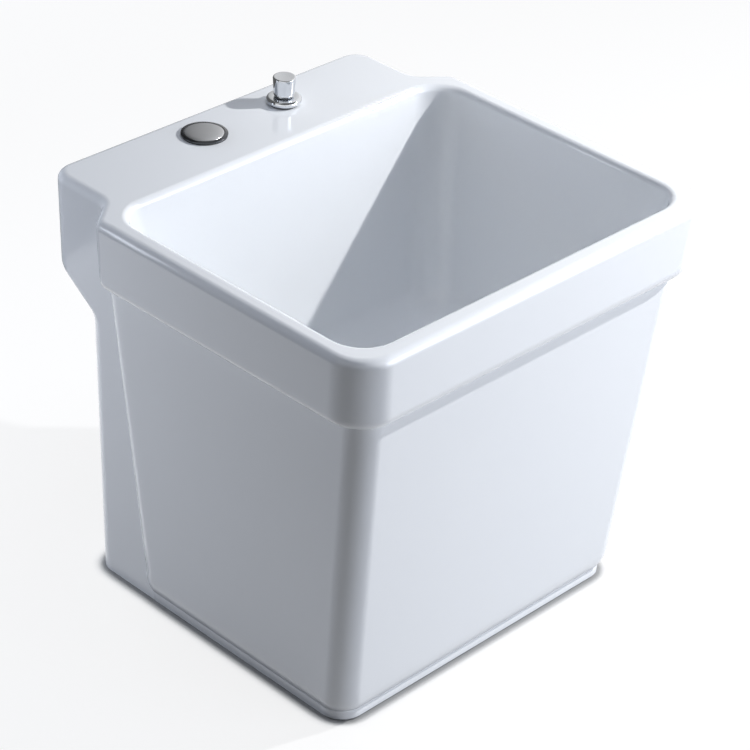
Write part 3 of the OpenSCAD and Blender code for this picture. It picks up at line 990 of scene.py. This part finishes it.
@dataclass
class LiftKnob(Assembly):
    """The knob of the lift rod: a slight waist, a soft top edge and a faint dish.

    Attributes:
        hub: Radius of the flat in the middle of the knob's underside.
        foot_r: Rounding of its foot.
        waist: How far it draws in towards its foot.
        edge_r: Rounding of its top edge.
        brim: How wide and how deep the edge of the dish is.
        slope_w: How far in from the knob's side the dish's slope ends.
        dish: The dish's depth there.
        deepen: The depth in its middle, as a share of that.
        crown: Radius of the flat in its middle.
    """

    hub: float = 3.4 * MM
    foot_r: float = 2.6 * MM
    waist: float = 1.1 * MM
    edge_r: float = 1.3 * MM
    brim: Pair = (2.4 * MM, 0.05 * MM)
    slope_w: float = 5.0 * MM
    dish: float = 0.25 * MM
    deepen: float = 1.2
    crown: float = 0.5 * MM

    def build(self) -> None:
        """Turn the knob."""
        seat = Seat.of("lift_knob")
        r, h = seat.radius, seat.height
        low = r - self.waist
        side = h - self.edge_r - self.foot_r
        profile: Profile = [(self.hub, 0.0), (low - self.foot_r, 0.0)]
        profile += rounding((low - self.foot_r, self.foot_r), self.foot_r, -80, 0, 8)
        profile += [(low + (r - low) * t, self.foot_r + side * t) for t in (0.25, 0.5, 0.75)]
        profile += rounding((r - self.edge_r, h - self.edge_r), self.edge_r, 0, 90, 8)
        profile += [(r - self.brim[0], h - self.brim[1]), (r - self.slope_w, h - self.dish),
                    (self.crown, h - self.dish * self.deepen)]
        self.maker.turn("lift_knob", "turned_knob", profile, smooth_under=40)


@dataclass
class KnobGuide(Assembly):
    """The guide under the knob: a full round flange over a threaded shank.

    Attributes:
        rod_gap: Gap between the bore and the rod.
        washer_w: How far the washer stands out from the shank.
        point: How far the shank's end is turned down.
        margin: Plain length at both ends of the thread.
        neck_d: How far the neck is turned down.
        pitch: The thread's pitch.
        land: How far in from the shank's side the mouth's slope starts.
        slope: Width of the slope's foot round the bore, and how deep it lies.
        mouth_d: How deep the bore's upper edge lies.
    """

    rod_gap: float = 0.3 * MM
    washer_w: float = 7.0 * MM
    point: float = 1.2 * MM
    margin: float = 1.0 * MM
    neck_d: float = 0.6 * MM
    pitch: float = 1.5 * MM
    land: float = 2.5 * MM
    slope: Pair = (1.2 * MM, 0.5 * MM)
    mouth_d: float = 1.4 * MM

    def build(self) -> None:
        """Turn the guide, bored for the rod."""
        seat = Seat.of("knob_guide")
        top = seat.height
        flange_h = seat.high.z - Seat.of("guide_gasket").high.z
        foot, half = top - flange_h, flange_h / 2
        bore = Seat.of("lift_rod").radius + self.rod_gap
        shank = Seat.of("guide_washer").radius - self.washer_w
        profile: Profile = [(bore, 0.0), (shank - self.point, 0.0)]
        profile += thread(shank, self.margin, foot - self.margin, self.pitch)
        profile.append((shank - self.neck_d, foot))
        profile += rounding((seat.radius - half, foot + half), half, -90, 90, 16)
        profile += [(shank - self.land, top), (bore + self.slope[0], top - self.slope[1]),
                    (bore, top - self.mouth_d)]
        self.maker.turn("knob_guide", "turned_guide", profile, smooth_under=35, bored=True)


@dataclass
class WasteFlange(Assembly):
    """The waste's flange: a thin rolled edge, a shallow cone to its bore and a threaded shank.

    Attributes:
        seal_lap: How far the stopper's seal reaches past the bore.
        wall: The shank's thickness.
        point: How far the shank's end is turned down, and the plain length there.
        margin: Plain length under the flange.
        neck_d: How far the neck is turned down.
        pitch: The thread's pitch.
        foot_r: Rounding of the flange's foot.
        edge_r: Rounding of its edge.
        brow_r: Rounding at the top of the cone.
        brow_w: How far that is from the bore.
        throat: How far the cone's foot is from the bore, and how deep it lies.
        mouth_d: How deep the bore's upper edge lies.
    """

    seal_lap: float = 0.9 * MM
    wall: float = 2.0 * MM
    point: float = 0.8 * MM
    margin: float = 1.2 * MM
    neck_d: float = 0.5 * MM
    pitch: float = 1.5 * MM
    foot_r: float = 0.5 * MM
    edge_r: float = 1.3 * MM
    brow_r: float = 0.8 * MM
    brow_w: float = 3.3 * MM
    throat: Pair = (0.4 * MM, 3.6 * MM)
    mouth_d: float = 4.4 * MM

    def build(self) -> None:
        """Turn the flange."""
        seat = Seat.of("waste_flange")
        r, top = seat.radius, seat.height
        under = Seat.of("flange_gasket").high.z - seat.low.z
        bore = Seat.of("stopper_seal").radius - self.seal_lap
        shank = bore + self.wall
        profile: Profile = [(bore, 0.0), (shank - self.point, 0.0)]
        profile += thread(shank, self.point, under - self.margin, self.pitch)
        profile += [(shank - self.neck_d, under), (r - self.foot_r, under)]
        profile += rounding((r - self.foot_r, under + self.foot_r), self.foot_r, -90, 0, 4)[1:]
        profile += rounding((r - self.edge_r, top - self.edge_r), self.edge_r, 0, 90, 6)
        profile += rounding((bore + self.brow_w, top - self.brow_r), self.brow_r, 90, 140, 4)
        profile += [(bore + self.throat[0], top - self.throat[1]), (bore, top - self.mouth_d)]
        self.maker.turn("waste_flange", "turned_flange", profile, smooth_under=35, bored=True)


@dataclass(frozen=True)
class LinkagePlane:
    """The upright plane that the lift rod, the strap and the ball rod lie in.

    Attributes:
        foot: The foot of the waste's axis.
        heading: Where the lift rod is from there, as an angle round the upright axis.
    """

    foot: Vector
    heading: float

    @classmethod
    def find(cls) -> "LinkagePlane":
        """Return the plane through the drain pipe's axis and the lift rod's."""
        foot, rod = (Vector(Seat.of(node).axis_foot) for node in ("drain_pipe", "lift_rod"))
        return cls(foot, math.atan2(rod.y - foot.y, rod.x - foot.x))

    def run_of(self, y: float, half_w: float) -> float:
        """Return how far out a level piece's end is, from its box's edge across the wall.

        Args:
            y: The box's edge.
            half_w: Half the piece's width, negative at its near end.

        Returns:
            The distance from the waste's axis.
        """
        return (y - self.foot.y - half_w * math.cos(self.heading)) / math.sin(self.heading)

    def lay(self, piece: bpy.types.Object, run: float, z: float) -> None:
        """Lay a piece that stands at the origin on its side, pointing out along the plane.

        Args:
            piece: The piece.
            run: How far from the waste's axis its foot is to be.
            z: The height of its middle line.
        """
        select_only(piece)
        piece.rotation_euler = (0.0, math.pi / 2, self.heading)
        piece.location = (self.foot.x + run * math.cos(self.heading),
                          self.foot.y + run * math.sin(self.heading), z)
        bpy.ops.object.transform_apply(location=True, rotation=True, scale=True)


@dataclass
class LinkageAssembly(Assembly):
    """A sub-assembly that is set out along the linkage's plane.

    Attributes:
        plane: That plane.
    """

    plane: LinkagePlane = field(default_factory=LinkagePlane.find)


@dataclass
class Nuts(LinkageAssembly):
    """The nuts that show behind the basin, with their corners turned off.

    Attributes:
        cone: Slope of the corners' chamfer.
        flat: Where it starts, as a share of the nut's radius over its flats.
        spare: How far the cutting cone reaches past the nut.
        hub: Radius of the flat at the cone's ends.
        smooth_under: Edges duller than this are smoothed, in degrees.
    """

    cone: float = math.radians(30)
    flat: float = 0.96
    spare: float = 0.3 * MM
    hub: float = 0.2 * MM
    smooth_under: float = 24.0

    def build(self) -> None:
        """Build all of them."""
        self.build_upright("slip_nut", sides=8)
        self.build_upright("guide_nut", sides=6)
        self.build_level("ball_nut", sides=6)

    def build_upright(self, node: str, sides: int) -> None:
        """Build a nut that stands upright.

        Args:
            node: Its node.
            sides: How many sides it has.
        """
        seat = Seat.of(node)
        self.chamfer(node, self.blank(seat.radius, sides, seat.height, seat.axis_foot))

    def build_level(self, node: str, sides: int) -> None:
        """Build a nut that lies in the linkage's plane, with one corner up.

        Args:
            node: Its node.
            sides: How many sides it has.
        """
        seat = Seat.of(node)
        corner = seat.height / 2
        half_w = corner * math.cos(math.pi / sides)
        start = self.plane.run_of(seat.low.y, -half_w)
        end = self.plane.run_of(seat.high.y, half_w)
        blank = self.blank(corner, sides, end - start, (0.0, 0.0, 0.0))
        self.plane.lay(blank, start, seat.low.z + corner)
        self.chamfer(node, blank)

    def blank(self, corner: float, sides: int, height: float, at: Place) -> bpy.types.Object:
        """Turn the double cone that a nut's corners are cut to.

        Args:
            corner: The nut's radius over its corners.
            sides: How many sides it has.
            height: The nut's height.
            at: The foot of its axis.

        Returns:
            The blank.
        """
        low = self.flat * corner * math.cos(math.pi / sides)
        rise = (corner + self.spare - low) * math.tan(self.cone)
        back = self.spare / math.tan(self.cone)
        profile: Profile = [
            (self.hub, -self.spare), (low - back, -self.spare), (corner + self.spare, rise),
            (corner + self.spare, height - rise), (low - back, height + self.spare),
            (self.hub, height + self.spare)]
        return Lathe().turn("nut_blank", profile, at)

    def chamfer(self, node: str, blank: bpy.types.Object) -> None:
        """Cut a nut to its blank, and put it in place.

        Args:
            node: The nut's node.
            blank: The blank.
        """
        nut = merged_copy(node, "cut_" + node)
        cut(nut, blank, Keep.INSIDE)
        shade(nut, self.smooth_under)
        self.maker.put(nut, node)


@dataclass
class WasteBody(LinkageAssembly):
    """The waste's body, with the threads that show on it.

    Attributes:
        pitch: The threads' pitch.
        in_slip_nut: How far the lower thread runs down into the slip nut.
        over_slip_nut: How far it runs up out of it.
        over_socket: Gap between the ball's socket and the upper thread.
        in_lock_nut: How far that thread runs up into the lock nut.
        die_w: Thickness of the die that cuts a thread.
        die_segments: Faces round the die.
        play: How far the die's crests stay off the body.
        foot_h: How much of the body's foot tells its radius.
        edge_w: Width of the rounding on its edges.
    """

    pitch: float = 2.4 * MM
    in_slip_nut: float = 2.0 * MM
    over_slip_nut: float = 5.2 * MM
    over_socket: float = 1.0 * MM
    in_lock_nut: float = 3.0 * MM
    die_w: float = 2.0 * MM
    die_segments: int = 72
    play: float = 0.06 * MM
    foot_h: float = 0.1 * MM
    edge_w: float = 0.35 * MM

    def build(self) -> None:
        """Cut the threads, above and below the ball's socket, and round the edges."""
        body = merged_copy("waste_body", "threaded_waste_body")
        r = self.radius_of(body)
        axis = (Seat.of("waste_body").axis_foot[0], self.plane.foot.y, 0.0)
        nut_top = Seat.of("slip_nut").high.z
        lower = (nut_top - self.in_slip_nut, nut_top + self.over_slip_nut)
        upper = (Seat.of("ball_nut").high.z + self.over_socket,
                 Seat.of("lock_nut").low.z + self.in_lock_nut)
        for low, high in (lower, upper):
            profile: Profile = [(r + self.die_w, low)]
            profile += thread(r + self.play, low, high, self.pitch)
            profile.append((r + self.die_w, high))
            die = Lathe(self.die_segments).turn("die", profile, axis, bored=True)
            cut(body, die, Keep.OUTSIDE)
        soften(body, self.edge_w, segments=2, degrees=50)
        self.maker.put(body, "waste_body")

    def radius_of(self, body: bpy.types.Object) -> float:
        """Return the radius of the body's foot.

        Args:
            body: The body.

        Returns:
            The radius.
        """
        foot = min(vertex.co.z for vertex in body.data.vertices) + self.foot_h
        return max((vertex.co - self.plane.foot).xy.length for vertex in body.data.vertices
                   if vertex.co.z < foot)


@dataclass
class LiftStrap(LinkageAssembly):
    """The strap with its row of holes, with a rounded foot and soft edges.

    Attributes:
        foot_r: Rounding of the foot's corners.
        segments: Faces across that rounding.
        foot_h: How near the foot a corner is.
        through: How well a corner runs with the plane.
        edge_w: Width of the rounding on the other edges.
    """

    foot_r: float = 4.0 * MM
    segments: int = 7
    foot_h: float = 0.05 * MM
    through: float = 0.99
    edge_w: float = 0.25 * MM

    def build(self) -> None:
        """Round the strap's foot and its edges."""
        strap = merged_copy("lift_strap", "rounded_strap")
        foot = Seat.of("lift_strap").low.z
        across = Vector((math.cos(self.plane.heading), math.sin(self.plane.heading), 0.0))

        def is_corner(edge: Any) -> bool:
            """Tell whether an edge runs through the strap at a corner of its foot.

            Args:
                edge: The edge.

            Returns:
                True if it does.
            """
            one, two = (vertex.co for vertex in edge.verts)
            line = (two - one).normalized()
            return max(one.z, two.z) < foot + self.foot_h and abs(line.dot(across)) > self.through

        select_only(strap)
        bpy.ops.object.mode_set(mode="EDIT")
        select_where(strap, Element.EDGES, is_corner)
        bpy.ops.mesh.bevel(offset=self.foot_r, segments=self.segments, affect="EDGES")
        bpy.ops.object.mode_set(mode="OBJECT")
        soften(strap, self.edge_w, segments=2, degrees=40)
        self.maker.put(strap, "lift_strap")


@dataclass
class ThumbScrew(LinkageAssembly):
    """The screw that holds the strap on the rod: a threaded shank and a knurled head.

    Attributes:
        hub: Radius of the flat at the shank's end.
        shank_r: The shank's radius.
        point: How far its end is turned down.
        margin: Plain length at both ends of the thread.
        pitch: The thread's pitch.
        head_l: The head's length.
        bevel: Bevel on its edges.
        rim_w: Width of the rim round its dish, with the bevel.
        dish_d: Depth of the dish, and width of its slope.
        crown: Radius of the flat in its middle.
        knurls: Ridges round the head.
        valley: The valleys' radius between them, as a share of the ridges'.
        knurl_w: How far in from the ridges the knurling takes hold.
    """

    hub: float = 0.2 * MM
    shank_r: float = 2.0 * MM
    point: float = 0.4 * MM
    margin: float = 0.3 * MM
    pitch: float = 0.7 * MM
    head_l: float = 6.0 * MM
    bevel: float = 0.6 * MM
    rim_w: float = 1.6 * MM
    dish_d: float = 0.5 * MM
    crown: float = 0.3 * MM
    knurls: int = 30
    valley: float = 0.93
    knurl_w: float = 0.7 * MM

    def build(self) -> None:
        """Turn the screw, knurl its head and lay it in place."""
        seat = Seat.of("strap_screw")
        rod = Seat.of("lift_rod")
        r = seat.height / 2
        start = (Vector(rod.axis_foot) - self.plane.foot).xy.length + rod.radius
        length = self.plane.run_of(seat.high.y, r) - start
        neck = length - self.head_l
        profile: Profile = [(self.hub, 0.0), (self.shank_r - self.point, 0.0)]
        profile += thread(self.shank_r, self.margin, neck - self.margin, self.pitch)
        profile += [(self.shank_r, neck), (r - self.bevel, neck), (r, neck + self.bevel),
                    (r, length - self.bevel), (r - self.bevel, length), (r - self.rim_w, length),
                    (r - self.rim_w - self.dish_d, length - self.dish_d),
                    (self.crown, length - self.dish_d)]
        screw = Lathe(2 * self.knurls).turn("thumb_screw", profile, (0.0, 0.0, 0.0))
        step = math.pi / self.knurls

        def is_valley(vertex: Any) -> bool:
            """Tell whether a vertex is in a valley of the knurling.

            Args:
                vertex: The vertex.

            Returns:
                True if it is.
            """
            turn = round(math.atan2(vertex.co.y, vertex.co.x) / step)
            return vertex.co.xy.length > r - self.knurl_w and turn % 2 == 1

        select_only(screw)
        bpy.ops.object.mode_set(mode="EDIT")
        select_where(screw, Element.VERTS, is_valley)
        bpy.ops.transform.resize(value=(self.valley, self.valley, 1.0),
                                 center_override=(0.0, 0.0, 0.0))
        bpy.ops.object.mode_set(mode="OBJECT")
        self.plane.lay(screw, start, seat.low.z + r)
        smooth(screw, 20)
        self.maker.put(screw, "strap_screw")


@dataclass
class Hardware(Assembly):
    """The other fastenings and the linkage: copies of their solids with rounded edges.

    Attributes:
        edges: Width of the rounding on each node, in millimetres.
    """

    edges: dict[str, float] = field(default_factory=lambda: {
        "cover_gasket": 0.3, "cover_washer": 0.35, "cover_wing_nut": 0.7,
        "guide_gasket": 0.3, "guide_washer": 0.35, "lift_rod": 0.8, "spring_clip": 0.25,
        "ball_rod": 0.8, "ball_seats": 0.3, "flange_gasket": 0.3, "body_gasket": 0.8,
        "friction_washer": 0.4, "lock_nut": 0.9, "stopper": 0.5, "stopper_seal": 0.5,
        "slip_washer": 0.4, "drain_pipe": 0.4})

    def build(self) -> None:
        """Round the edges of each of them."""
        for node, width in self.edges.items():
            piece = merged_copy(node, "worn_" + node)
            soften(piece, width * MM)
            self.maker.put(piece, node)


# ---- Studio ----------------------------------------------------------------------------------


def hang(name: str, kind: str, at: Place, power: float) -> bpy.types.Object:
    """Hang a lamp.

    Args:
        name: The lamp's name.
        kind: Its type.
        at: Its place.
        power: Its power in watts.

    Returns:
        The lamp.
    """
    data = bpy.data.lights.new(name, kind)
    data.energy = power
    lamp = bpy.data.objects.new(name, data)
    bpy.context.scene.collection.objects.link(lamp)
    lamp.location = at
    return lamp


@dataclass(frozen=True)
class SoftBox:
    """A square lamp that looks at a point.

    Attributes:
        name: The lamp's name.
        at: Its place.
        aim: The point.
        size: Its side in metres.
        power: Its power in watts.
    """

    name: str
    at: Place
    aim: Place
    size: float
    power: float

    def hang(self, colour: Colour) -> None:
        """Hang it.

        Args:
            colour: The colour of its light.
        """
        lamp = hang(self.name, "AREA", self.at, self.power)
        lamp.data.color = colour
        lamp.data.size = self.size
        ahead = Vector(self.aim) - Vector(self.at)
        lamp.rotation_euler = ahead.to_track_quat("-Z", "Y").to_euler()


@dataclass(frozen=True)
class Card:
    """A flat glowing card that only mirrored rays meet, dark at one side and paler at the other: a
    painted reflection.

    Attributes:
        name: The card's name.
        at: Its middle.
        tilt: How far it is tipped up from lying flat, in degrees.
        size: Its width and height.
        axis: The axis along which it turns paler.
        ends: Where it starts to turn paler, and where it is palest.
        levels: How bright it is at both.
    """

    name: str
    at: Place
    tilt: float
    size: Pair
    axis: str
    ends: Pair
    levels: Pair

    def stand(self) -> None:
        """Stand it in its place."""
        bpy.ops.object.select_all(action="DESELECT")
        bpy.ops.mesh.primitive_plane_add(size=1.0, location=self.at,
                                         rotation=(math.radians(self.tilt), 0.0, 0.0))
        card = bpy.context.object
        card.name = self.name
        card.scale = (*self.size, 1.0)
        bpy.ops.object.transform_apply(location=True, rotation=True, scale=True)
        for rays in ("camera", "diffuse", "shadow", "transmission"):
            setattr(card, "visible_" + rays, False)
        # The glow, dark at one end and pale at the other, is a painted reflection that only mirrors
        # show.
        shader = Shader(self.name)
        glow = shader.ramp(shader.place(self.axis), self.ends, self.levels)
        shader.show(shader.node("ShaderNodeEmission", inputs={"Strength": glow}))
        dress(card, shader.made)


@dataclass
class Studio:
    """The camera, the floor, the lamps, the cards and the surroundings.

    Attributes:
        focal_px: The photograph's focal length, in its pixels.
        frame_px: The photograph's width.
        sensor_mm: The sensor's width.
        sight: How far the camera sees, in metres.
        camera_at: The camera's place.
        camera_right: Its direction to the right.
        camera_up: Its upward direction.
        camera_ahead: The direction it looks in.
        key_at: The main lamp's place.
        key_power: Its power in watts.
        key_radius: Its radius.
        soft_boxes: The lamps that fill the shade.
        cards: Glowing cards that only mirrored rays meet, painted reflections for the chrome: the
            wall
        behind, dark on the left and pale on the right, as beside a window, and the ceiling, which
        is paler towards that wall.
        shade: Colour of the light in the shade.
        sky: How bright the surroundings are to everything but the camera and mirrors.
        floor_w: The floor's width.
        floor_grey: The floor's grey to the light, and the grey painted as a contact shadow in its
            narrow gaps.
        glow: How much of its white is its own light, where it is free.
        samples: Rays that look for what closes it in.
        contact: How far they reach, for the painted contact shadow along the line of contact round
            the foot.
        contact_sky: The share that gets away where it is closed in, and where it is free.
        room: How far they reach, for the ground near the sink.
        room_sky: The same two shares there.
    """

    focal_px: float = 2768.53
    frame_px: float = 750.0
    sensor_mm: float = 36.0
    sight: float = 50.0
    camera_at: Place = (-1.567733, -1.505734, 1.583026)
    camera_right: Place = (0.70705416, -0.70593682, 0.04156468)
    camera_up: Place = (0.35088931, 0.40126133, 0.84608867)
    camera_ahead: Place = (0.61396344, 0.58364591, -0.53141918)
    key_at: Place = (1.163, -0.70, 1.315)
    key_power: float = 106.0
    key_radius: float = 0.022
    soft_boxes: tuple[SoftBox, ...] = (
        SoftBox("left_fill", (-0.65, 0.75, 0.45), (-0.1, 0.1, 0.25), size=0.5, power=4.0),
        SoftBox("front_fill", (1.05, -1.95, 0.6), (0.0, 0.0, 0.2), size=1.4, power=28.5),
        SoftBox("top_fill", (-0.1, -0.35, 2.1), (0.0, -0.05, 0.3), size=0.9, power=8.2),
        SoftBox("rear_fill", (0.5, 2.3, 0.35), (0.0, 0.2, 0.2), size=1.2, power=24.0))
    cards: tuple[Card, ...] = (
        Card("wall_card", (-0.5, 0.62, 0.85), tilt=90.0, size=(5.0, 1.7), axis="X",
             ends=(0.1, 0.72), levels=(0.12, 1.0)),
        Card("ceiling_card", (-0.1, -0.4, 1.72), tilt=0.0, size=(2.6, 2.0), axis="Y",
             ends=(-0.3, 0.3), levels=(0.06, 0.45)))
    shade: Colour = (0.87, 0.925, 1.04)
    sky: float = 0.055
    floor_w: float = 12.0
    floor_grey: float = 0.34
    glow: float = 0.82
    samples: int = 8
    contact: float = 0.014
    contact_sky: Pair = (0.6, 0.97)
    room: float = 0.35
    room_sky: Pair = (0.1, 0.45)

    def build(self) -> None:
        """Build all of it."""
        self.build_camera()
        self.build_floor()
        hang("key", "POINT", self.key_at, self.key_power).data.shadow_soft_size = self.key_radius
        for soft_box in self.soft_boxes:
            soft_box.hang(self.shade)
        self.build_surroundings()
        for card in self.cards:
            card.stand()
        bpy.context.scene.view_settings.view_transform = "Standard"

    def build_camera(self) -> None:
        """Place the camera of the photograph."""
        data = bpy.data.cameras.new("camera")
        data.sensor_width = self.sensor_mm
        data.lens = self.focal_px * self.sensor_mm / self.frame_px
        data.clip_end = self.sight
        camera = bpy.data.objects.new("camera", data)
        bpy.context.scene.collection.objects.link(camera)
        turn = Matrix((self.camera_right, self.camera_up, -Vector(self.camera_ahead))).transposed()
        camera.matrix_world = Matrix.Translation(self.camera_at) @ turn.to_4x4()
        bpy.context.scene.camera = camera

    def build_floor(self) -> None:
        """Lay the floor.

        The camera sees it white. Away from the sink most of that is its own light, and near the
        sink it is lit, so that it shows the shadow. Along the line of contact its colour is painted
        grey, a painted contact shadow. What the lamps light up is grey as well, so the floor throws
        little light back at the sink.
        """
        bpy.ops.object.select_all(action="DESELECT")
        bpy.ops.mesh.primitive_plane_add(size=self.floor_w, location=(0.0, 0.0, 0.0))
        floor = bpy.context.object
        floor.name = "floor"
        shader = Shader("pale_floor")
        # Painted contact shadow: where the sink closes the floor in at the foot, the colour that
        # the camera sees turns from white to grey.
        clear = shader.seen_directly() * self.openness(shader, self.contact, self.contact_sky)
        free = clear * self.openness(shader, self.room, self.room_sky) * self.glow
        grey = (self.floor_grey, self.floor_grey, self.floor_grey)
        lit = shader.node("ShaderNodeBsdfDiffuse", inputs=[shader.blend(clear, grey, WHITE)])
        own = shader.node("ShaderNodeEmission", inputs=[(*WHITE, 1.0)])
        shader.show(shader.node("ShaderNodeMixShader", inputs=[free, lit, own]))
        dress(floor, shader.made)

    def openness(self, shader: Shader, reach: float, sky: Pair) -> Value:
        """Return 0 where the floor is closed in and 1 where it is free.

        Args:
            shader: The floor's shader.
            reach: How far off something still closes the floor in.
            sky: The share of open sky that counts as closed in, and the one that counts as free.

        Returns:
            The openness.
        """
        seen = shader.node("ShaderNodeAmbientOcclusion", {"samples": self.samples},
                           {"Distance": reach}, "AO")
        return shader.ramp(seen, sky)

    def build_surroundings(self) -> None:
        """Set surroundings that are white to the camera and in mirrors, and dim to the rest."""
        shader = Shader("surroundings", ShaderKind.WORLD)
        dim = shader.node("ShaderNodeBackground", inputs=[(*self.shade, 1.0), self.sky])
        white = shader.node("ShaderNodeBackground", inputs=[(*WHITE, 1.0)])
        seen = shader.seen_directly()
        shader.show(shader.node("ShaderNodeMixShader", inputs=[seen, dim, white]))
        bpy.context.scene.world = shader.made


def main() -> None:
    """Build the studio and then the part, one sub-assembly after the other."""
    maker = Maker(Finishes())
    Studio().build()
    assemblies: tuple[type[Assembly], ...] = (
        Hardware, Nuts, WasteBody, LiftStrap, ThumbScrew, CeramicBody, TapHoleCover, LiftKnob,
        KnobGuide, WasteFlange)
    for assembly in assemblies:
        assembly(maker).build()


if __name__ == "__main__":
    main()
